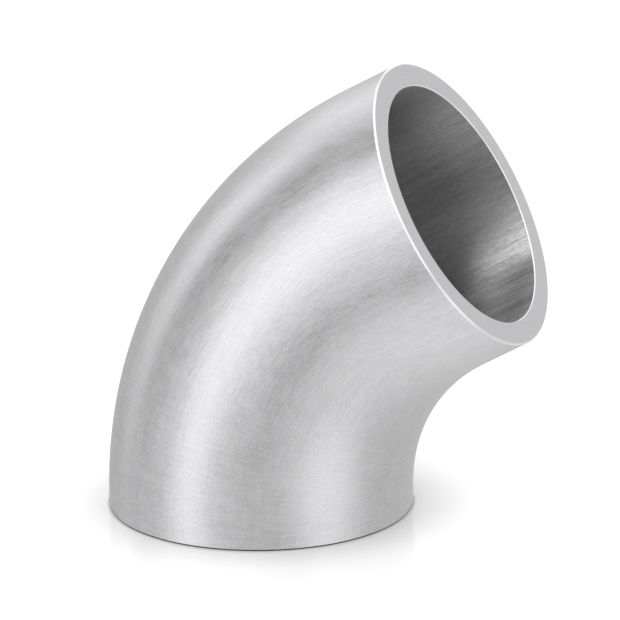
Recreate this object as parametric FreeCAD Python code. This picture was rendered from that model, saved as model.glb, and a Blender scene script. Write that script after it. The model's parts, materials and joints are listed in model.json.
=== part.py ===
import FreeCAD, Part
import math
import os

# Sizes in millimetres, angles in degrees.
# The bend stands on its lower end. The origin is the centre of that end face, the lower leg
# rises along +Z, and the bend turns towards +X in the plane Y = 0.

OUTSIDE_DIAMETER = 38.1
WALL_THICKNESS = 3.05

# Radius of the centre line through the curved part, and the angle it turns through.
BEND_RADIUS = 41.3
BEND_ANGLE = 60.0

# Straight pipe left below and above the curved part.
LOWER_LEG_LENGTH = 2.3
UPPER_LEG_LENGTH = 6.9

# The sharp corners of both square-cut ends are broken at 45 degrees, outside and in the bore.
OUTSIDE_EDGE_BREAK = 0.2
BORE_EDGE_BREAK = 0.1

# Two points, or two radii, that differ by less than this are taken as the same.
SAME_LENGTH = 1e-4

LOWER_END_CENTRE = FreeCAD.Vector(0, 0, 0)
UP = FreeCAD.Vector(0, 0, 1)
BEND_AXIS = FreeCAD.Vector(0, 1, 0)


def outside_radius():
    """Radius of the pipe's outside."""
    return OUTSIDE_DIAMETER / 2


def bore_radius():
    """Radius of the hole through the pipe."""
    return outside_radius() - WALL_THICKNESS


def pipe_section():
    """The ring that the pipe has for a section, lying on the lower end face."""
    circles = [Part.makeCircle(radius, LOWER_END_CENTRE, UP) for radius in (outside_radius(), bore_radius())]
    return Part.makeFace(circles, "Part::FaceMakerBullseye")


def curve_centre():
    """The point that the centre line turns about."""
    return FreeCAD.Vector(BEND_RADIUS, 0, LOWER_LEG_LENGTH)


def upper_leg_start():
    """Centre of the section where the curve ends and the upper leg begins."""
    angle = math.radians(BEND_ANGLE)
    return curve_centre() + BEND_RADIUS * FreeCAD.Vector(-math.cos(angle), 0, math.sin(angle))


def upper_leg_direction():
    """Unit vector along the upper leg, out of the upper end."""
    angle = math.radians(BEND_ANGLE)
    return FreeCAD.Vector(math.sin(angle), 0, math.cos(angle))


def upper_end_centre():
    """Centre of the upper end face."""
    return upper_leg_start() + UPPER_LEG_LENGTH * upper_leg_direction()


def lower_leg():
    """Straight pipe from the lower end face up to the start of the curve."""
    return pipe_section().extrude(UP * LOWER_LEG_LENGTH)


def curved_pipe():
    """The section carried round the bend's axis, tangent to both legs."""
    section = pipe_section()
    section.translate(UP * LOWER_LEG_LENGTH)
    return section.revolve(curve_centre(), BEND_AXIS, BEND_ANGLE)


def upper_leg():
    """Straight pipe from the end of the curve to the upper end face."""
    section = pipe_section()
    section.rotate(LOWER_END_CENTRE, BEND_AXIS, BEND_ANGLE)
    section.translate(upper_leg_start())
    return section.extrude(UPPER_LEG_LENGTH * upper_leg_direction())


def end_corners(pipe, radius):
    """The two sharp circles of this radius, one round each end face."""
    end_centres = (LOWER_END_CENTRE, upper_end_centre())
    circles = [edge for edge in pipe.Edges if isinstance(edge.Curve, Part.Circle)]
    return [
        edge
        for edge in circles
        if abs(edge.Curve.Radius - radius) < SAME_LENGTH
        and any(edge.Curve.Center.distanceToPoint(centre) < SAME_LENGTH for centre in end_centres)
    ]


def pipe_bend():
    """One bent length of round pipe with square-cut ends and broken corners."""
    pipe = lower_leg().fuse([curved_pipe(), upper_leg()]).removeSplitter()
    pipe = pipe.makeChamfer(OUTSIDE_EDGE_BREAK, end_corners(pipe, outside_radius()))
    return pipe.makeChamfer(BORE_EDGE_BREAK, end_corners(pipe, bore_radius()))


os.makedirs("parts", exist_ok=True)
pipe_bend().exportStep("parts/pipe_bend.step")
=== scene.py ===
import json
import logging
import math
from dataclasses import dataclass
from enum import Enum

import bpy
import numpy as np
from mathutils import Matrix, Vector


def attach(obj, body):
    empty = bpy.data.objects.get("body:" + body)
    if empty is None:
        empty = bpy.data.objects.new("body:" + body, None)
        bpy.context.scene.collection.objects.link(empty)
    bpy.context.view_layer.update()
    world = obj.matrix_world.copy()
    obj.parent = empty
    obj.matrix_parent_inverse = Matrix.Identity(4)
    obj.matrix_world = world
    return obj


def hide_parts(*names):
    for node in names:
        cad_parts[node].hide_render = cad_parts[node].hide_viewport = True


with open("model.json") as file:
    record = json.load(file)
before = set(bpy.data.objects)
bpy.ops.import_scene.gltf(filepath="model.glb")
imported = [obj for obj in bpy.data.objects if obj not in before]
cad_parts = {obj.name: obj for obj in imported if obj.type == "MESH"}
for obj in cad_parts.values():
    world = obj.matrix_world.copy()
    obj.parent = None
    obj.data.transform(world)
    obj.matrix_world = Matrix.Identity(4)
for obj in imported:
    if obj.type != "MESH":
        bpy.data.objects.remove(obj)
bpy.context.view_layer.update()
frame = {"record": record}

# Lengths are in metres and angles in degrees unless a name says otherwise.
# A place on the pipe is given by its station, which is the distance along the centre line from the
# lower end, its radius from that line, and its angle round it: 0 is the inside of the bend, and -90
# faces the camera.

MM = 0.001

# The mesh's attribute for the place on the pipe as if it were straightened out along +Z, and its UV
# map, which unrolls it: once round is 1 across, and this length of the wall's outline is 1 upwards.
STRAIGHT_PIPE = "straight_pipe"
UNROLLED = "unrolled"
UNROLLED_SIDE = 120.0 * MM

# An input or an output of a node.
Socket = bpy.types.NodeSocket

# Part of a full turn that brings the wider spread of light from round the pipe to along it.
QUARTER_TURN = 0.25

logging.basicConfig(level=logging.INFO, format="%(name)s: %(message)s")
LOG = logging.getLogger("pipe_bend_scene")


class Surface(Enum):
    """The kinds of surface on the pipe, in the order of its material slots."""

    OUTSIDE = 0
    END_FACE = 1
    OUTSIDE_CORNER = 2
    BORE = 3
    BORE_CORNER = 4


def direction(azimuth: float, elevation: float) -> Vector:
    """Unit vector towards a place in the studio.

    Args:
        azimuth: degrees round the vertical, 0 towards -Y and 90 towards +X.
        elevation: degrees above the horizon.

    Returns:
        (sin a cos e, -cos a cos e, sin e).
    """
    a, e = math.radians(azimuth), math.radians(elevation)
    return Vector((math.sin(a) * math.cos(e), -math.cos(a) * math.cos(e), math.sin(e)))


class Wiring:
    """Adds nodes to one node tree and joins them."""

    def __init__(self, tree: bpy.types.NodeTree) -> None:
        """Start with an empty tree."""
        tree.nodes.clear()
        self.tree = tree

    def add(self, kind: str, **values: object) -> bpy.types.Node:
        """Add one node.

        Args:
            kind: Blender's name for the node's type.
            values: the node's own settings; a key of the form in_NAME sets or feeds the input with
                that name, with underlines for spaces.

        Returns:
            The new node.
        """
        node = self.tree.nodes.new(kind)
        for key, value in values.items():
            if not key.startswith("in_"):
                setattr(node, key, value)
        for key, value in values.items():
            if key.startswith("in_"):
                self.feed(node.inputs[key.removeprefix("in_").replace("_", " ")], value)
        return node

    def feed(self, socket: Socket, value: object) -> None:
        """Join a socket to another one, or set its value.

        Args:
            socket: the input.
            value: an output to join to it, or a plain value.
        """
        if isinstance(value, Socket):
            self.tree.links.new(value, socket)
        else:
            socket.default_value = value

    def work_out(self, kind: str, operation: str, values: tuple) -> bpy.types.Node:
        """Add one node that works something out.

        Args:
            kind: the node's type.
            operation: what it works out.
            values: the outputs, numbers or vectors that it works on.

        Returns:
            The node.
        """
        node = self.add(kind, operation=operation)
        for socket, value in zip(node.inputs, values):
            self.feed(socket, value)
        return node

    def maths(self, operation: str, *values: object) -> Socket:
        """Work out a number from outputs or numbers."""
        return self.work_out("ShaderNodeMath", operation, values).outputs[0]

    def times(self, value: object, factor: object) -> Socket:
        """Work out value * factor."""
        return self.maths("MULTIPLY", value, factor)

    def times_plus(self, value: object, factor: object, added: object) -> Socket:
        """Work out value * factor + added."""
        return self.maths("MULTIPLY_ADD", value, factor, added)

    def vector(self, operation: str, *values: object) -> bpy.types.Node:
        """Add a node that works on outputs or vectors."""
        return self.work_out("ShaderNodeVectorMath", operation, values)

    def ramp(self, value: object, low: float, high: float, at_low: float, at_high: float) -> Socket:
        """Ease smoothly from one number to another while a value rises.

        Args:
            value: the value.
            low: where the change starts.
            high: where the change ends.
            at_low: the number up to there.
            at_high: the number from there on.

        Returns:
            The eased number.
        """
        return self.add(
            "ShaderNodeMapRange", interpolation_type="SMOOTHSTEP", in_Value=value,
            in_From_Min=low, in_From_Max=high, in_To_Min=at_low, in_To_Max=at_high,
        ).outputs["Result"]

    def sockets(self, in_out: str, kind: str, *names: str) -> None:
        """Add inputs or outputs of one kind, Float or Vector, to a group."""
        for name in names:
            self.tree.interface.new_socket(name, in_out=in_out, socket_type=f"NodeSocket{kind}")


@dataclass(frozen=True)
class Band:
    """A soft band, whose mask rises from 0 at low to 1 at full, and falls again from fading to high."""

    low: float
    full: float
    fading: float
    high: float

    def mask(self, wiring: Wiring, value: Socket, past: float = 0.0) -> Socket:
        """Mask of the band over a value, of which past is left from high on."""
        rising = wiring.ramp(value, self.low, self.full, 0.0, 1.0)
        return wiring.times(rising, wiring.ramp(value, self.fading, self.high, 1.0, past))


@dataclass(frozen=True)
class CentreLine:
    """The line through the middle of the pipe: straight up, an arc in the plane Y = 0, straight on.

    The turn is in radians.
    """

    lower_leg: float
    bend_radius: float
    turn: float
    upper_leg: float

    @classmethod
    def between(cls, lower: dict, upper: dict) -> "CentreLine":
        """Find the line between the bores of both ends.

        The turn is the angle from the vertical to the upper bore's axis. The upper end lies at
        x = radius * (1 - cos turn) + upper leg * sin turn, which gives the radius.

        Args:
            lower: the lower bore's mount in the record.
            upper: the upper bore's mount in the record.

        Returns:
            The centre line.
        """
        turn = math.atan2(upper["axis"][0], upper["axis"][2])
        upper_leg = upper["dims"]["length_mm"] * MM
        radius = (upper["pos_m"][0] - upper_leg * math.sin(turn)) / (1.0 - math.cos(turn))
        return cls(lower["dims"]["length_mm"] * MM, radius, turn, upper_leg)

    @property
    def length(self) -> float:
        """Distance along the line from end to end."""
        return self.lower_leg + self.bend_radius * self.turn + self.upper_leg

    def at(self, station: np.ndarray) -> tuple[np.ndarray, np.ndarray, np.ndarray]:
        """Points and directions along the line.

        The angle turned through is (station - lower leg) / radius, kept between 0 and the turn. The
        point is the arc's point at that angle, plus what is left of the station along its tangent.

        Args:
            station: distances from the lower end.

        Returns:
            Points, unit tangents, and unit vectors to the inside of the bend, each as rows of three.
        """
        angle = np.clip((station - self.lower_leg) / self.bend_radius, 0.0, self.turn)
        sine, cosine, flat = np.sin(angle), np.cos(angle), np.zeros_like(angle)
        along = np.stack([sine, flat, cosine], axis=-1)
        inward = np.stack([cosine, flat, -sine], axis=-1)
        left = station - self.lower_leg - self.bend_radius * angle
        arc = self.bend_radius * np.stack([1.0 - cosine, flat, sine], axis=-1)
        start = np.array([0.0, 0.0, self.lower_leg])
        return start + arc + left[:, None] * along, along, inward


@dataclass(frozen=True)
class Outline:
    """A closed outline in the plane of station and radius, with the surface that each strip belongs to."""

    station: np.ndarray
    radius: np.ndarray
    normal: np.ndarray
    surface: np.ndarray

    def travelled(self) -> np.ndarray:
        """Measure the way along the outline, as the running sum of the steps between its points.

        Returns:
            The distance to each point, and back to the first one at the end.
        """
        place = np.stack([self.station, self.radius], axis=-1)
        steps = np.linalg.norm(np.roll(place, -1, axis=0) - place, axis=1)
        return np.concatenate([[0.0], np.cumsum(steps)])


@dataclass(frozen=True)
class PipeWall:
    """The wall cut along the pipe: a long rectangle with its four corners broken at 45 degrees.

    Rounding is the radius at the eight edges that the broken corners have, and ring spacing the
    longest step between two rings of the mesh.
    """

    length: float
    outside_radius: float
    bore_radius: float
    outside_break: float = 0.20 * MM
    bore_break: float = 0.10 * MM
    rounding: float = 0.04 * MM
    rounding_steps: int = 4
    ring_spacing: float = 0.5 * MM

    def corners(self) -> np.ndarray:
        """Place the eight corners.

        Returns:
            Their stations and radii, in order: up the outside, across the upper end, down the bore,
            across the lower end.
        """
        end, outside, bore = self.length, self.outside_radius, self.bore_radius
        cut, nick = self.outside_break, self.bore_break
        return np.array([
            (cut, outside), (end - cut, outside), (end, outside - cut), (end, bore + nick),
            (end - nick, bore), (nick, bore), (0.0, bore + nick), (0.0, outside - cut),
        ])

    def rounded_corner(
        self, corner: np.ndarray, before: np.ndarray, after: np.ndarray
    ) -> tuple[np.ndarray, np.ndarray]:
        """Round one corner with an arc that touches both of its sides.

        With the sides' directions a and b and the arc's radius r, the arc starts r * tan(turn / 2)
        before the corner. Its normal turns evenly from that of a to that of b, and each of its points
        is the arc's centre plus r times the normal.

        Args:
            corner: the sharp corner.
            before: direction of the side that ends there.
            after: direction of the side that starts there.

        Returns:
            The arc's points and its normals.
        """
        turn = math.atan2(before[0] * after[1] - before[1] * after[0], float(before @ after))
        first = math.atan2(before[0], -before[1])
        angle = first + turn * np.linspace(0.0, 1.0, self.rounding_steps + 1)
        normal = np.stack([np.cos(angle), np.sin(angle)], axis=-1)
        centre = corner - before * self.rounding * math.tan(abs(turn) / 2) - normal[0] * self.rounding
        return centre + self.rounding * normal, normal

    def outline(self) -> Outline:
        """Make the outline of points close enough for a smooth surface.

        Each of the eight sides runs from the end of one rounded corner to the start of the next, cut
        into equal steps no longer than the ring spacing.

        Returns:
            The outline.
        """
        corner = self.corners()
        side = np.roll(corner, -1, axis=0) - corner
        side /= np.linalg.norm(side, axis=1, keepdims=True)
        sides = (Surface.OUTSIDE, Surface.OUTSIDE_CORNER, Surface.END_FACE, Surface.BORE_CORNER,
                 Surface.BORE, Surface.BORE_CORNER, Surface.END_FACE, Surface.OUTSIDE_CORNER)
        rounded = [sides[k] if "CORNER" in sides[k].name else sides[k - 1] for k in range(len(sides))]
        arcs = [self.rounded_corner(corner[k], side[k - 1], side[k]) for k in range(len(corner))]
        points, normals, surfaces = [], [], []
        for k, surface in enumerate(sides):
            arc, normal = arcs[k]
            start, stop = arc[-1], arcs[(k + 1) % len(arcs)][0][0]
            steps = max(1, math.ceil(float(np.linalg.norm(stop - start)) / self.ring_spacing))
            share = np.arange(1, steps)[:, None] / steps
            points += [arc, start + (stop - start) * share]
            normals += [normal, np.repeat(normal[-1:], steps - 1, axis=0)]
            surfaces += [rounded[k].value] * self.rounding_steps + [surface.value] * steps
        place = np.concatenate(points)
        return Outline(place[:, 0], place[:, 1], np.concatenate(normals), np.array(surfaces))


@dataclass(frozen=True)
class LineSet:
    """One use of the brushed lines.

    per_mm is how many lines lie side by side in a millimetre, long_mm how long a line is, and finer
    how many finer layers are added. Shift moves the pattern, so that two uses differ.
    """

    per_mm: float
    long_mm: float
    finer: float
    shift: float


@dataclass(frozen=True)
class BrushedLines:
    """Fine lines left by brushing or turning, as a node group.

    It reads the place on the straightened pipe. A noise pattern is squeezed across the lines and
    drawn out along them. The outputs lie round 0: Along for lines that run along the pipe, Round for
    lines that run round it, and Ring for the rings that turning leaves on an end face. Each finer
    layer is as strong as finer_share of the one before.
    """

    name: str = "brushed_lines"
    finer_share: float = 0.65

    def group(self) -> bpy.types.NodeTree:
        """Build the group, or find it if it has been built.

        Returns:
            The group.
        """
        made = bpy.data.node_groups.get(self.name)
        if made:
            return made
        tree = bpy.data.node_groups.new(self.name, "ShaderNodeTree")
        wiring = Wiring(tree)
        wiring.sockets("INPUT", "Vector", "Place")
        wiring.sockets("INPUT", "Float", "Lines per mm", "Line length mm", "Detail", "Shift")
        wiring.sockets("OUTPUT", "Float", "Along", "Round", "Ring")
        given = wiring.add("NodeGroupInput").outputs
        result = wiring.add("NodeGroupOutput")
        in_mm = wiring.vector("MULTIPLY", given["Place"], (1.0 / MM, 1.0 / MM, 1.0 / MM)).outputs[0]
        part = wiring.add("ShaderNodeSeparateXYZ", in_Vector=in_mm).outputs
        flat = wiring.vector("MULTIPLY", in_mm, (1.0, 1.0, 0.0)).outputs[0]
        radius = wiring.vector("LENGTH", flat).outputs["Value"]
        fine = given["Lines per mm"]
        slow = wiring.maths("DIVIDE", 1.0, given["Line length mm"])
        for name, across, last, lengthwise in (
            ("Along", fine, part["Z"], slow),
            ("Round", slow, part["Z"], fine),
            ("Ring", slow, radius, fine),
        ):
            spot = wiring.add(
                "ShaderNodeCombineXYZ",
                in_X=wiring.times(part["X"], across),
                in_Y=wiring.times(part["Y"], across),
                in_Z=wiring.times_plus(last, lengthwise, given["Shift"]),
            )
            noise = wiring.add(
                "ShaderNodeTexNoise", noise_dimensions="3D", normalize=False, in_Vector=spot.outputs[0],
                in_Scale=1.0, in_Detail=given["Detail"], in_Roughness=self.finer_share,
            )
            wiring.feed(result.inputs[name], noise.outputs["Fac"])
        return tree

    def lines(self, wiring: Wiring, place: Socket, chosen: LineSet) -> bpy.types.bpy_prop_collection:
        """Put the group into a material.

        Args:
            wiring: the material's wiring.
            place: the place on the straightened pipe.
            chosen: how fine and how long the lines are.

        Returns:
            The group's outputs.
        """
        return wiring.add(
            "ShaderNodeGroup", node_tree=self.group(), in_Place=place, in_Lines_per_mm=chosen.per_mm,
            in_Line_length_mm=chosen.long_mm, in_Detail=chosen.finer, in_Shift=chosen.shift,
        ).outputs


@dataclass(frozen=True)
class MarkSet:
    """One use of the handling marks.

    Turn is how far the marks are turned from the pipe's direction. across_mm and along_mm are a
    cell's width and length; a mark is twice the size times them wide and long. Share is the share of
    the cells that has a mark. Strength is 1 for dark marks and -1 for bright ones.
    """

    turn: float
    across_mm: float
    along_mm: float
    size: float
    share: float
    strength: float = 1.0


@dataclass(frozen=True)
class HandlingMarks:
    """Sparse marks from handling, short scratches or specks, as a node group.

    It reads the unrolled map. The map is turned and stretched into long cells, each with one point
    in it; a mark is the small long oval round that point, in the share of the cells that has one.
    Full is the part of a mark, from its middle, that doesn't fade.
    """

    name: str = "handling_marks"
    full: float = 0.4

    def group(self) -> bpy.types.NodeTree:
        """Build the group, or find it if it has been built.

        Returns:
            The group.
        """
        made = bpy.data.node_groups.get(self.name)
        if made:
            return made
        tree = bpy.data.node_groups.new(self.name, "ShaderNodeTree")
        wiring = Wiring(tree)
        wiring.sockets("INPUT", "Vector", "Unrolled", "Cells per mm")
        wiring.sockets("INPUT", "Float", "Turn", "Mark size", "Share")
        wiring.sockets("OUTPUT", "Float", "Mark")
        given = wiring.add("NodeGroupInput").outputs
        result = wiring.add("NodeGroupOutput")
        side = UNROLLED_SIDE / MM
        in_mm = wiring.vector("MULTIPLY", given["Unrolled"], (side, side, 0.0)).outputs[0]
        turned = wiring.add(
            "ShaderNodeVectorRotate", rotation_type="Z_AXIS", in_Vector=in_mm, in_Angle=given["Turn"]
        )
        cells = wiring.vector("MULTIPLY", turned.outputs[0], given["Cells per mm"]).outputs[0]
        cell = wiring.add("ShaderNodeTexVoronoi", voronoi_dimensions="2D", in_Vector=cells, in_Scale=1.0)
        inside = wiring.maths("DIVIDE", cell.outputs["Distance"], given["Mark size"])
        mark = wiring.ramp(inside, self.full, 1.0, 1.0, 0.0)
        chance = wiring.add("ShaderNodeSeparateColor", in_Color=cell.outputs["Color"]).outputs[0]
        chosen = wiring.maths("LESS_THAN", chance, given["Share"])
        wiring.feed(result.inputs["Mark"], wiring.times(mark, chosen))
        return tree

    def marks(self, wiring: Wiring, unrolled: Socket, chosen: MarkSet) -> Socket:
        """Put the group into a material.

        Args:
            wiring: the material's wiring.
            unrolled: the unrolled map.
            chosen: how large, how many and how turned the marks are.

        Returns:
            The marks, 1 on a mark and 0 off it.
        """
        cells = (1.0 / chosen.across_mm, 1.0 / chosen.along_mm, 1.0)
        return wiring.add(
            "ShaderNodeGroup", node_tree=self.group(), in_Unrolled=unrolled, in_Cells_per_mm=cells,
            in_Turn=math.radians(chosen.turn), in_Mark_size=chosen.size, in_Share=chosen.share,
        ).outputs["Mark"]


def station_and_angle(wiring: Wiring, place: Socket) -> tuple[Socket, Socket]:
    """Station and angle in degrees, which are Z and atan2(Y, X) of the straightened place."""
    part = wiring.add("ShaderNodeSeparateXYZ", in_Vector=place).outputs
    return part["Z"], wiring.maths("DEGREES", wiring.maths("ARCTAN2", part["Y"], part["X"]))


@dataclass(frozen=True)
class Look:
    """What a finish varies over the surface: a factor on the tone, the roughness, and the height."""

    tone: Socket
    roughness: Socket
    height: Socket


@dataclass(frozen=True)
class Aluminium:
    """Bare aluminium as a finish, with its tone and its roughness.

    tone_change and roughness_change are how far its lines change them, and relief is how high the
    lines stand. Lines past steepest, either way, count as that. Grooved, from 0 to 1, is how much
    more it spreads light along the pipe than round it, as a surface does that has fine grooves
    running round.
    """

    name: str
    tone: tuple[float, float, float]
    roughness: float
    tone_change: float
    roughness_change: float
    relief: float
    grooved: float = 0.0
    steepest: float = 1.2

    def material(self) -> bpy.types.Material:
        """Make the node material of this finish.

        Returns:
            The material.
        """
        made = bpy.data.materials.new(self.name)
        made.use_nodes = True
        wiring = Wiring(made.node_tree)
        place = wiring.add(
            "ShaderNodeAttribute", attribute_type="GEOMETRY", attribute_name=STRAIGHT_PIPE
        ).outputs["Vector"]
        unrolled = wiring.add("ShaderNodeUVMap", uv_map=UNROLLED).outputs["UV"]
        look = self.look(wiring, place, unrolled)
        bump = wiring.add("ShaderNodeBump", in_Strength=1.0, in_Distance=self.relief, in_Height=look.height)
        metal = wiring.add(
            "ShaderNodeBsdfPrincipled", in_Metallic=1.0, in_Roughness=look.roughness,
            in_Base_Color=wiring.vector("MULTIPLY", self.tone, look.tone).outputs[0],
            in_Normal=bump.outputs["Normal"],
        )
        if self.grooved:
            round_the_pipe = wiring.add("ShaderNodeTangent", direction_type="UV_MAP", uv_map=UNROLLED)
            wiring.feed(metal.inputs["Tangent"], round_the_pipe.outputs["Tangent"])
            metal.inputs["Anisotropic"].default_value = self.grooved
            metal.inputs["Anisotropic Rotation"].default_value = QUARTER_TURN
        wiring.add("ShaderNodeOutputMaterial", in_Surface=metal.outputs["BSDF"])
        return made

    def varied(self, wiring: Wiring, lines: Socket) -> Look:
        """Make a look that rises and falls with one set of lines.

        The lines are first eased into the range from -1 to 1, so that none stands out.

        Args:
            wiring: the material's wiring.
            lines: the lines, round 0.

        Returns:
            1 + tone change * lines, roughness + roughness change * lines, and the lines as height.
        """
        eased = wiring.ramp(lines, -self.steepest, self.steepest, -1.0, 1.0)
        tone = wiring.times_plus(eased, self.tone_change, 1.0)
        roughness = wiring.times_plus(eased, self.roughness_change, self.roughness)
        return Look(tone, roughness, eased)

    def look(self, wiring: Wiring, place: Socket, unrolled: Socket) -> Look:
        """Wire the varied look of this finish.

        Args:
            wiring: the material's wiring.
            place: the place on the straightened pipe.
            unrolled: the unrolled map.

        Returns:
            The tone's factor, the roughness and the height.
        """
        raise NotImplementedError


@dataclass(frozen=True)
class BrushedOutside(Aluminium):
    """The outside: lines along the bend, lines round it near the foot, and marks from handling.

    Near the foot the lines that run round are at their full strength and those along the pipe lose
    along_lost of theirs; higher up, round_left is left of the lines that run round. Half way up the
    outside of the bend the brushing left coarser lines as well, of which coarse_past is left towards
    the upper end and coarse_inside on the inside of the bend.
    """

    name: str = "brushed_outside"
    tone: tuple[float, float, float] = (0.62, 0.62, 0.631)
    roughness: float = 0.34
    tone_change: float = 0.085
    roughness_change: float = 0.03
    relief: float = 0.0030 * MM
    grain: LineSet = LineSet(6.5, 0.4, 1.0, 41.0)
    fine: LineSet = LineSet(5.0, 3.0, 1.5, 0.0)
    broad: LineSet = LineSet(1.1, 18.0, 1.0, 7.0)
    coarse: LineSet = LineSet(6.5, 1.4, 0.0, 53.0)
    mottle: LineSet = LineSet(0.25, 6.0, 2.0, 19.0)
    grain_strength: float = 1.2
    broad_strength: float = 0.3
    coarse_strength: float = 1.6
    mottle_change: float = 0.03
    foot_from: float = 14.0 * MM
    foot_to: float = 28.0 * MM
    round_left: float = 0.15
    along_lost: float = 0.55
    coarse_stations: Band = Band(10.0 * MM, 24.0 * MM, 32.0 * MM, 46.0 * MM)
    coarse_past: float = 0.25
    coarse_angles: tuple[float, float] = (50.0, 105.0)
    coarse_inside: float = 0.2
    handling: tuple[MarkSet, ...] = (
        MarkSet(38.0, 3.0, 75.0, 0.022, 0.35),
        MarkSet(-12.0, 3.5, 90.0, 0.016, 0.35),
        MarkSet(20.0, 3.1, 3.7, 0.024, 0.30),
        MarkSet(4.0, 3.3, 150.0, 0.020, 0.30, strength=-1.0),
    )
    mark_tone: float = -0.16
    mark_height: float = -1.2

    def look(self, wiring: Wiring, place: Socket, unrolled: Socket) -> Look:
        """Wire fine and broad lines, a soft mottle, and a few scratches and specks.

        Args:
            wiring: the material's wiring.
            place: the place on the straightened pipe.
            unrolled: the unrolled map.

        Returns:
            The tone's factor, the roughness and the height.
        """
        mottle = BrushedLines().lines(wiring, place, self.mottle)["Along"]
        look = self.varied(wiring, self.lines(wiring, place))
        marks: object = 0.0
        for chosen in self.handling:
            mark = HandlingMarks().marks(wiring, unrolled, chosen)
            marks = wiring.times_plus(mark, chosen.strength, marks)
        tone = wiring.times_plus(mottle, self.mottle_change, look.tone)
        return Look(
            wiring.times_plus(marks, self.mark_tone, tone),
            wiring.times_plus(mottle, self.mottle_change, look.roughness),
            wiring.times_plus(marks, self.mark_height, look.height),
        )

    def lines(self, wiring: Wiring, place: Socket) -> Socket:
        """Add up the lines, each with its own strength.

        Args:
            wiring: the material's wiring.
            place: the place on the straightened pipe.

        Returns:
            The sum, round 0.
        """
        kinds = (self.grain, self.fine, self.broad, self.coarse)
        grain, fine, broad, coarse = (BrushedLines().lines(wiring, place, kind) for kind in kinds)
        station, angle = station_and_angle(wiring, place)
        near_foot = wiring.ramp(station, self.foot_from, self.foot_to, 1.0, self.round_left)
        turned = wiring.times(fine["Round"], near_foot)
        kept = wiring.times_plus(near_foot, -self.along_lost, 1.0)
        lines = wiring.maths("ADD", wiring.times(fine["Along"], kept), turned)
        lines = wiring.times_plus(broad["Along"], self.broad_strength, lines)
        lines = wiring.times_plus(grain["Along"], self.grain_strength, lines)
        half_way = self.coarse_stations.mask(wiring, station, self.coarse_past)
        outer = wiring.ramp(wiring.maths("ABSOLUTE", angle), *self.coarse_angles, self.coarse_inside, 1.0)
        worked = wiring.times(coarse["Along"], wiring.times(half_way, outer))
        return wiring.times_plus(worked, self.coarse_strength, lines)


@dataclass(frozen=True)
class TurnedFace(Aluminium):
    """The flat ring at each end: finely turned and nearly even."""

    name: str = "turned_end_face"
    tone: tuple[float, float, float] = (0.60, 0.60, 0.612)
    roughness: float = 0.40
    tone_change: float = 0.05
    roughness_change: float = 0.04
    relief: float = 0.0010 * MM
    rings: LineSet = LineSet(6.0, 5.0, 1.0, 23.0)
    mottle: LineSet = LineSet(1.2, 3.0, 2.0, 29.0)
    mottle_strength: float = 0.8

    def look(self, wiring: Wiring, place: Socket, unrolled: Socket) -> Look:
        """Wire rings from turning over a soft mottle."""
        rings, mottle = (BrushedLines().lines(wiring, place, kind) for kind in (self.rings, self.mottle))
        return self.varied(wiring, wiring.times_plus(mottle["Along"], self.mottle_strength, rings["Ring"]))


@dataclass(frozen=True)
class BrightCorner(Aluminium):
    """The broken corners: narrow, cut with a sharp tool and brighter than the rest."""

    name: str = "bright_outside_corner"
    tone: tuple[float, float, float] = (0.95, 0.95, 0.953)
    roughness: float = 0.20
    tone_change: float = 0.04
    roughness_change: float = 0.03
    relief: float = 0.0003 * MM
    cut: LineSet = LineSet(5.0, 3.0, 1.0, 31.0)

    def look(self, wiring: Wiring, place: Socket, unrolled: Socket) -> Look:
        """Wire faint lines round the pipe."""
        return self.varied(wiring, BrushedLines().lines(wiring, place, self.cut)["Round"])


@dataclass(frozen=True)
class PaintedHighlightPatch:
    """A painted highlight inside the upper mouth: lighter, and also rougher and more marked.

    Round the pipe its lower edge lies at one angle, within edge_width of it at the mouth and wider
    by softening with each metre behind it. It fades out between the two upper angles, and fan
    brings them down towards the lower edge, in degrees for each metre behind the mouth. Along the
    pipe it fades in between two stations. Tone, the painted highlight, marked and roughness are
    what it adds to the tone, to the strength of the lines in it, and to the roughness.
    """

    edge: float = 46.4
    edge_width: float = 3.6
    softening: float = 0.30 / MM
    upper: tuple[float, float] = (50.0, 80.0)
    fan: float = 1.35 / MM
    stations: tuple[float, float] = (34.0 * MM, 46.0 * MM)
    # Painted highlight: how much lighter the patch's tone is made.
    tone: float = 0.62
    marked: float = 0.20
    roughness: float = 0.32

    def mask(self, wiring: Wiring, station: Socket, behind_mouth: Socket, angle: Socket) -> Socket:
        """Multiply what each edge leaves of the patch.

        Args:
            wiring: the material's wiring.
            station: the station.
            behind_mouth: the distance along the pipe behind the upper mouth.
            angle: the angle round the pipe, made ragged by the lines.

        Returns:
            The mask, from 0 to 1.
        """
        softer = wiring.times_plus(behind_mouth, self.softening, 1.0)
        past_edge = wiring.maths("DIVIDE", wiring.maths("SUBTRACT", angle, self.edge), softer)
        lower = wiring.ramp(past_edge, -self.edge_width, self.edge_width, 0.0, 1.0)
        fanned = wiring.times_plus(behind_mouth, self.fan, angle)
        across = wiring.times(lower, wiring.ramp(fanned, *self.upper, 1.0, 0.0))
        return wiring.times(across, wiring.ramp(station, *self.stations, 0.0, 1.0))


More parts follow.
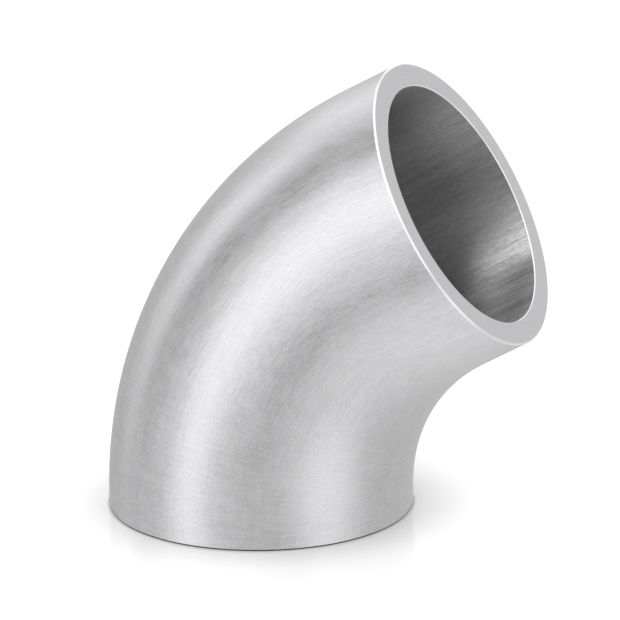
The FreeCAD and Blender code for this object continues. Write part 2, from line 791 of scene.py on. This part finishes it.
@dataclass(frozen=True)
class StreakedBore(Aluminium):
    """The bore: finely grooved round, streaked along, with a painted highlight inside the upper mouth.

    Between mouth_from and mouth_to from the middle of the pipe it changes from deep, where it is
    smoother by deep_roughness, to the mouth. On the inside of the bend, within inner_angles, it is
    scored by broad lines at the mouths, and rougher in a band behind them, where painted light
    makes it lighter as well. Painted light makes a strip along each side slightly lighter. The
    streaks shift the edges of the painted highlight by about ragged_degrees.
    """

    name: str = "streaked_bore"
    tone: tuple[float, float, float] = (0.59, 0.59, 0.593)
    roughness: float = 0.46
    tone_change: float = 0.11
    roughness_change: float = 0.012
    relief: float = 0.0018 * MM
    grooved: float = 0.70
    grain: LineSet = LineSet(6.0, 0.8, 1.0, 43.0)
    fine: LineSet = LineSet(3.5, 8.0, 2.0, 3.0)
    broad: LineSet = LineSet(0.9, 20.0, 1.0, 11.0)
    scored: LineSet = LineSet(0.9, 14.0, 2.0, 17.0)
    grain_strength: float = 1.2
    broad_strength: float = 0.4
    half_length: float = 26.2 * MM
    mouth_from: float = 15.0 * MM
    mouth_to: float = 25.5 * MM
    deep_roughness: float = -0.13
    inner_angles: tuple[float, float] = (36.0, 48.0)
    scored_tone: float = 0.32
    inner_band: Band = Band(9.0 * MM, 17.0 * MM, 19.0 * MM, 24.5 * MM)
    # Painted light: how much lighter the band on the inside of the bend is made.
    inner_painted_light: float = 0.42
    inner_roughness: float = 0.10
    side_angles: Band = Band(78.0, 92.0, 100.0, 112.0)
    # Painted light: how much lighter the strip along each side is made.
    side_painted_light: float = 0.15
    patch: PaintedHighlightPatch = PaintedHighlightPatch()
    ragged_degrees: float = 2.0

    def look(self, wiring: Wiring, place: Socket, unrolled: Socket) -> Look:
        """Wire long streaks and grain, and the areas where the bore differs, some of them painted light.

        Args:
            wiring: the material's wiring.
            place: the place on the straightened pipe.
            unrolled: the unrolled map.

        Returns:
            The tone's factor, the roughness and the height.
        """
        grain, fine, broad, scored = (
            BrushedLines().lines(wiring, place, kind)["Along"]
            for kind in (self.grain, self.fine, self.broad, self.scored)
        )
        lines = wiring.times_plus(broad, self.broad_strength, fine)
        look = self.varied(wiring, wiring.times_plus(grain, self.grain_strength, lines))

        station, angle = station_and_angle(wiring, place)
        from_middle = wiring.maths("ABSOLUTE", wiring.maths("SUBTRACT", station, self.half_length))
        mouth = wiring.ramp(from_middle, self.mouth_from, self.mouth_to, 0.0, 1.0)
        deep = wiring.maths("SUBTRACT", 1.0, mouth)
        either_side = wiring.maths("ABSOLUTE", angle)
        inward = wiring.ramp(either_side, *self.inner_angles, 1.0, 0.0)
        inner = wiring.times(self.inner_band.mask(wiring, from_middle), inward)
        sides = self.side_angles.mask(wiring, either_side)
        behind_mouth = wiring.maths("SUBTRACT", 2.0 * self.half_length, station)
        streaks = wiring.maths("ADD", fine, broad)
        ragged = wiring.times_plus(streaks, self.ragged_degrees, angle)
        # The patch is a painted highlight inside the upper mouth, also rougher and more marked.
        patch = self.patch.mask(wiring, station, behind_mouth, ragged)

        scored = wiring.times(scored, wiring.times(mouth, inward))
        tone = wiring.times_plus(scored, self.scored_tone, look.tone)
        # Painted light: the highlight patch, the inner band and the side strips lighten the tone.
        lighter = wiring.times_plus(patch, self.patch.tone, 1.0)
        lighter = wiring.times_plus(inner, self.inner_painted_light, lighter)
        lighter = wiring.times_plus(sides, self.side_painted_light, lighter)
        marked = wiring.times(patch, look.height)
        roughness = wiring.times_plus(deep, self.deep_roughness, look.roughness)
        roughness = wiring.times_plus(inner, self.inner_roughness, roughness)
        return Look(
            wiring.times_plus(marked, self.patch.marked, wiring.times(tone, lighter)),
            wiring.times_plus(patch, self.patch.roughness, roughness),
            look.height,
        )


@dataclass(frozen=True)
class PipeBend:
    """The whole part: one bent length of round pipe with square-cut ends."""

    centre_line: CentreLine
    wall: PipeWall
    name: str = "brushed_pipe_bend"
    steps_round: int = 192

    @classmethod
    def from_record(cls, record: dict) -> "PipeBend":
        """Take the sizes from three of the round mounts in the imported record.

        Args:
            record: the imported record.

        Returns:
            The pipe bend.
        """
        mounts = {mount["name"]: mount for mount in record["mounts"]}
        line = CentreLine.between(mounts["lower_bore"], mounts["upper_bore"])
        radii = [mounts[name]["dims"]["r_mm"] * MM for name in ("upper_outside", "upper_bore")]
        return cls(line, PipeWall(line.length, *radii))

    def build(self) -> bpy.types.Object:
        """Make the pipe's mesh and dress it.

        The wall's outline is carried round the centre line. With the station s and radius r of an
        outline point and the angle p round the pipe, the point is
        centre(s) + r * (cos p * inward(s) + sin p * Y), and its normal is the outline's normal in the
        same directions. Both run as whole arrays, outline by angle.

        Returns:
            The finished object.
        """
        outline = self.wall.outline()
        centre, along, inward = self.centre_line.at(outline.station)
        angle = np.arange(self.steps_round) / self.steps_round * 2.0 * math.pi
        cosine, sine = np.cos(angle), np.sin(angle)
        sideways = np.array([0.0, 1.0, 0.0])
        outward = cosine[None, :, None] * inward[:, None, :] + sine[None, :, None] * sideways
        points = centre[:, None, :] + outline.radius[:, None, None] * outward
        endways, sidelong = outline.normal[:, 0, None, None], outline.normal[:, 1, None, None]
        normals = endways * along[:, None, :] + sidelong * outward
        across = outline.radius[:, None] * np.stack([cosine, sine])[:, None, :]
        station = np.broadcast_to(outline.station[:, None], across[0].shape)
        return self.as_object(outline, points, normals, np.stack([*across, station], axis=-1))

    def as_object(
        self, outline: Outline, points: np.ndarray, normals: np.ndarray, straight: np.ndarray
    ) -> bpy.types.Object:
        """Put the arrays into a closed mesh.

        Args:
            outline: the wall's outline.
            points: the vertices, outline by angle.
            normals: their normals.
            straight: their places if the pipe were straightened out along +Z.

        Returns:
            The finished object.
        """
        rings, steps = points.shape[:2]
        ring, step = np.meshgrid(np.arange(rings), np.arange(steps), indexing="ij")
        corner_ring = np.stack([ring, ring, ring + 1, ring + 1], axis=-1).reshape(-1, 4)
        corner_step = np.stack([step, step + 1, step + 1, step], axis=-1).reshape(-1, 4)
        quads = (corner_ring % rings) * steps + corner_step % steps
        mesh = bpy.data.meshes.new(self.name)
        mesh.from_pydata(points.reshape(-1, 3).tolist(), [], quads.tolist())
        mesh.polygons.foreach_set("material_index", np.repeat(outline.surface, steps))
        mesh.polygons.foreach_set("use_smooth", np.ones(len(quads), dtype=bool))
        place = mesh.attributes.new(STRAIGHT_PIPE, "FLOAT_VECTOR", "POINT")
        place.data.foreach_set("vector", straight.reshape(-1).astype(np.float32))
        spread = mesh.uv_layers.new(name=UNROLLED)
        height = outline.travelled()[corner_ring] / UNROLLED_SIDE
        flat = np.stack([corner_step / steps, height], axis=-1)
        spread.data.foreach_set("uv", flat.reshape(-1).astype(np.float32))
        finishes = {
            Surface.OUTSIDE: BrushedOutside(),
            Surface.END_FACE: TurnedFace(),
            Surface.OUTSIDE_CORNER: BrightCorner(),
            Surface.BORE: StreakedBore(),
            Surface.BORE_CORNER: BrightCorner(name="bright_bore_corner", tone=(0.97, 0.97, 0.973)),
        }
        for surface in Surface:
            mesh.materials.append(finishes[surface].material())
        mesh.update()
        mesh.normals_split_custom_set_from_vertices(normals.reshape(-1, 3).tolist())
        piece = bpy.data.objects.new(self.name, mesh)
        bpy.context.scene.collection.objects.link(piece)
        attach(piece, "root")
        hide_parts("pipe_bend")
        return piece


@dataclass(frozen=True)
class Card:
    """A soft-edged patch of the studio's walls, lit or shaded, that the metal mirrors.

    Its width and height are the angles that it fills, and tilt turns it in its own plane. Softness
    is how wide its edge is, from 0, sharp, to 1.
    """

    name: str
    azimuth: float
    elevation: float
    wide: float
    high: float
    level: float
    softness: float = 0.6
    tilt: float = 0.0

    def mask(self, wiring: Wiring, towards: Socket) -> Socket:
        """Wire how much of the card is seen in a direction.

        The direction's parts along the card's right and up, each over the sine of half the angle
        that the card fills there, are squared and added. The mask eases from 1 to 0 as that sum
        passes 1, and is 0 behind the viewer. Its last node is labelled with the card's name.

        Args:
            wiring: the world's wiring.
            towards: the direction that is looked in.

        Returns:
            The mask, from 0 to 1.
        """
        axis = direction(self.azimuth, self.elevation)
        right = direction(self.azimuth + 90.0, 0.0)
        turn = Matrix.Rotation(math.radians(-self.tilt), 3, axis)
        sides = [(turn @ right, self.wide), (turn @ axis.cross(right), self.high)]
        scaled = [tuple(side / math.sin(math.radians(angle) / 2)) for side, angle in sides]
        parts = [wiring.vector("DOT_PRODUCT", towards, side).outputs["Value"] for side in scaled]
        across = wiring.times(parts[0], parts[0])
        out = wiring.times_plus(parts[1], parts[1], across)
        mask = wiring.ramp(out, 1.0 - self.softness, 1.0 + self.softness, 1.0, 0.0)
        ahead = wiring.vector("DOT_PRODUCT", towards, tuple(axis)).outputs["Value"]
        mask = wiring.times(mask, wiring.maths("GREATER_THAN", ahead, 0.0))
        mask.node.label = self.name
        return mask


@dataclass(frozen=True)
class Floor:
    """A plain pale floor that keeps the part's shadow and a faint mirror image at its foot.

    The part mirrors the studio's walls in its place. Only the spot that the part stands on is
    there for mirrored light. It closes the pipe from below, and has a painted shade under the pipe's wall.

    Glow is what the floor adds to its own tone where it is seen, so that it comes out white. It
    loses glow_lost of it near the part, where its gloss shows the mirror image, and more where the
    part shades it within contact_reach.
    """

    size: float = 6.0
    drop: float = 0.01 * MM
    spot_radius: float = 19.3 * MM
    spot_corners: int = 64
    under_wall: tuple[float, float] = (16.0 * MM, 18.5 * MM)
    # Painted shade: the spot's tone under the pipe's wall.
    painted_shade_tone: float = 0.12
    tone: float = 0.40
    glow: float = 0.74
    glow_lost: float = 0.17
    contact_reach: float = 9.0 * MM
    contact_samples: int = 8
    roughness: float = 0.12
    mirror: float = 0.5
    mirror_near: float = 27.0 * MM
    mirror_far: float = 40.0 * MM

    def build(self) -> None:
        """Lay the floor and the spot."""
        half = self.size / 2
        square = ((-half, -half), (half, -half), (half, half), (-half, half))
        floor = self.lay("studio_floor", [(x, y, -self.drop) for x, y in square], self.finish())
        floor.visible_glossy = False
        angle = np.arange(self.spot_corners) / self.spot_corners * 2.0 * math.pi
        rim = np.stack([np.cos(angle), np.sin(angle)], axis=-1) * self.spot_radius
        spot = self.lay("standing_spot", [(x, y, -self.drop) for x, y in rim.tolist()], self.shade())
        spot.visible_camera = spot.visible_diffuse = spot.visible_shadow = False

    def lay(self, name: str, corners: list, material: bpy.types.Material) -> bpy.types.Object:
        """Lay one flat face on the studio's floor.

        Args:
            name: the object's name.
            corners: the face's corners in order, anticlockwise seen from above.
            material: its material.

        Returns:
            The object.
        """
        mesh = bpy.data.meshes.new(name)
        mesh.from_pydata(corners, [], [tuple(range(len(corners)))])
        mesh.materials.append(material)
        made = bpy.data.objects.new(name, mesh)
        bpy.context.scene.collection.objects.link(made)
        return made

    def from_middle(self, wiring: Wiring) -> Socket:
        """Distance from the middle of the part's foot."""
        return wiring.vector("LENGTH", wiring.add("ShaderNodeTexCoord").outputs["Object"]).outputs["Value"]

    def finish(self) -> bpy.types.Material:
        """Make the floor pale and matt, white where it is lit, with a gloss that fades out.

        Returns:
            The material.
        """
        made = bpy.data.materials.new("pale_floor")
        made.use_nodes = True
        wiring = Wiring(made.node_tree)
        away = self.from_middle(wiring)
        ray = wiring.add("ShaderNodeLightPath").outputs
        seen = wiring.maths("MAXIMUM", ray["Is Camera Ray"], ray["Is Glossy Ray"])
        seen = wiring.maths("MAXIMUM", seen, ray["Is Transmission Ray"])
        open_share = wiring.add(
            "ShaderNodeAmbientOcclusion", samples=self.contact_samples, in_Distance=self.contact_reach
        )
        near, far = self.mirror_near, self.mirror_far
        glow = wiring.ramp(away, near, far, self.glow - self.glow_lost, self.glow)
        lit = wiring.times(glow, open_share.outputs["AO"])
        surface = wiring.add(
            "ShaderNodeBsdfPrincipled", in_Base_Color=(self.tone, self.tone, self.tone, 1.0),
            in_Roughness=self.roughness, in_Specular_IOR_Level=wiring.ramp(away, near, far, self.mirror, 0.0),
            in_Emission_Color=(1.0, 1.0, 1.0, 1.0), in_Emission_Strength=wiring.times(seen, lit),
        )
        wiring.add("ShaderNodeOutputMaterial", in_Surface=surface.outputs["BSDF"])
        return made

    def shade(self) -> bpy.types.Material:
        """Give the spot the floor's tone without its glow, with a painted shade under the pipe's wall.

        Returns:
            The material.
        """
        made = bpy.data.materials.new("shaded_floor")
        made.use_nodes = True
        wiring = Wiring(made.node_tree)
        away = self.from_middle(wiring)
        # Painted shade: the spot darkens towards its rim, under the pipe's wall.
        tone = wiring.ramp(away, *self.under_wall, self.tone, self.painted_shade_tone)
        matt = wiring.add("ShaderNodeBsdfDiffuse", in_Color=tone)
        wiring.add("ShaderNodeOutputMaterial", in_Surface=matt.outputs["BSDF"])
        return made


@dataclass(frozen=True)
class Studio:
    """A pale room whose walls carry soft boxes and shades, with a plain floor.

    A card lies over those before it. Past highest_level the walls don't get brighter, so that no
    side of the part clips to white.
    """

    wall_level: float = 0.71
    highest_level: float = 1.7
    cards: tuple[Card, ...] = (
        Card("key_strip", -48.0, 23.0, 34.0, 67.0, 1.18, 0.46),
        Card("key_strip_foot", -39.0, 0.0, 27.0, 68.0, 1.71, 0.95),
        Card("overhead_box", -12.5, 60.5, 81.0, 58.0, 2.9, 0.86, 40.0),
        Card("camera_side", 36.0, 9.5, 46.0, 48.0, 0.29, 0.71),
        Card("left_shade", -88.5, 28.0, 31.5, 71.0, 0.34, 0.56),
        Card("back_left_box", -141.5, 32.0, 38.5, 37.0, 1.48, 0.67),
        Card("left_box", -107.0, 8.5, 21.0, 50.0, 1.76, 0.64),
        Card("left_low_shade", -129.0, -8.0, 51.0, 51.0, 0.60, 0.94),
        Card("front_low_shade", -2.0, -34.5, 40.0, 26.0, 0.20, 0.7),
        Card("front_low_fill", -12.0, -18.0, 29.0, 17.0, 0.98, 0.85),
        Card("right_low_box", 66.0, -29.5, 46.0, 50.0, 1.29, 0.84),
        Card("back_right_box", 157.0, 9.0, 32.0, 22.0, 1.02, 0.59),
        Card("low_box", -36.5, -74.5, 98.0, 70.0, 1.09, 0.95, -39.0),
        Card("front_low_band", -10.0, -31.5, 26.0, 11.0, 0.32, 0.75),
        Card("right_box", 66.0, 22.0, 18.0, 34.0, 1.15, 0.6),
        Card("back_top_box", 115.0, 62.0, 90.0, 36.0, 1.15, 0.6),
        Card("backdrop_strip", -162.0, 18.0, 44.0, 24.0, 1.1, 0.6),
    )

    def build(self) -> None:
        """Make the walls and the floor."""
        self.walls()
        Floor().build()

    def walls(self) -> None:
        """Make the world: seen straight it is plain white, and mirrored in the part it shows the cards."""
        made = bpy.data.worlds.new("studio_walls")
        bpy.context.scene.world = made
        made.use_nodes = True
        wiring = Wiring(made.node_tree)
        towards = wiring.add("ShaderNodeTexCoord").outputs["Generated"]
        level: object = self.wall_level
        for card in self.cards:
            gap = wiring.maths("SUBTRACT", card.level, level)
            level = wiring.times_plus(card.mask(wiring, towards), gap, level)
        level = wiring.maths("MINIMUM", level, self.highest_level)
        ray = wiring.add("ShaderNodeLightPath").outputs
        plain = wiring.maths("MAXIMUM", ray["Is Camera Ray"], ray["Is Transmission Ray"])
        shown = wiring.times_plus(plain, wiring.maths("SUBTRACT", 1.0, level), level)
        white = wiring.add("ShaderNodeBackground", in_Color=(1.0, 1.0, 1.0, 1.0), in_Strength=shown)
        wiring.add("ShaderNodeOutputWorld", in_Surface=white.outputs[0])


@dataclass(frozen=True)
class PhotoCamera:
    """A long lens that sees the part as the photograph does.

    The lens and the sensor's width are in millimetres. Clip holds the nearest and the farthest
    distance that is shown.
    """

    azimuth: float = 18.12
    elevation: float = 18.10
    roll: float = -0.60
    distance: float = 1.524
    lens: float = 710.4
    sensor: float = 36.0
    clip: tuple[float, float] = (0.01, 20.0)
    target: tuple[float, float, float] = (0.006675, 0.0, 0.025862)

    def build(self) -> bpy.types.Object:
        """Set up the camera and make it the scene's own.

        Returns:
            The camera.
        """
        back = direction(self.azimuth, self.elevation)
        right = direction(self.azimuth + 90.0, 0.0)
        turned = Matrix.Rotation(math.radians(self.roll), 3, "Z")
        axes = Matrix((right, back.cross(right), back)).transposed() @ turned
        data = bpy.data.cameras.new("photo_camera")
        data.sensor_width = self.sensor
        data.lens = self.lens
        data.clip_start, data.clip_end = self.clip
        made = bpy.data.objects.new("photo_camera", data)
        made.matrix_world = Matrix.Translation(Vector(self.target) + back * self.distance) @ axes.to_4x4()
        bpy.context.scene.collection.objects.link(made)
        bpy.context.scene.camera = made
        return made


def main() -> None:
    """Build the part, the studio and the camera."""
    bpy.context.scene.view_settings.view_transform = "Standard"
    bend = PipeBend.from_record(frame["record"])
    piece = bend.build()
    faces, line_mm = len(piece.data.polygons), bend.centre_line.length / MM
    LOG.info("%s: %d faces, centre line %.2f mm", piece.name, faces, line_mm)
    Studio().build()
    PhotoCamera().build()


if __name__ == "__main__":
    main()
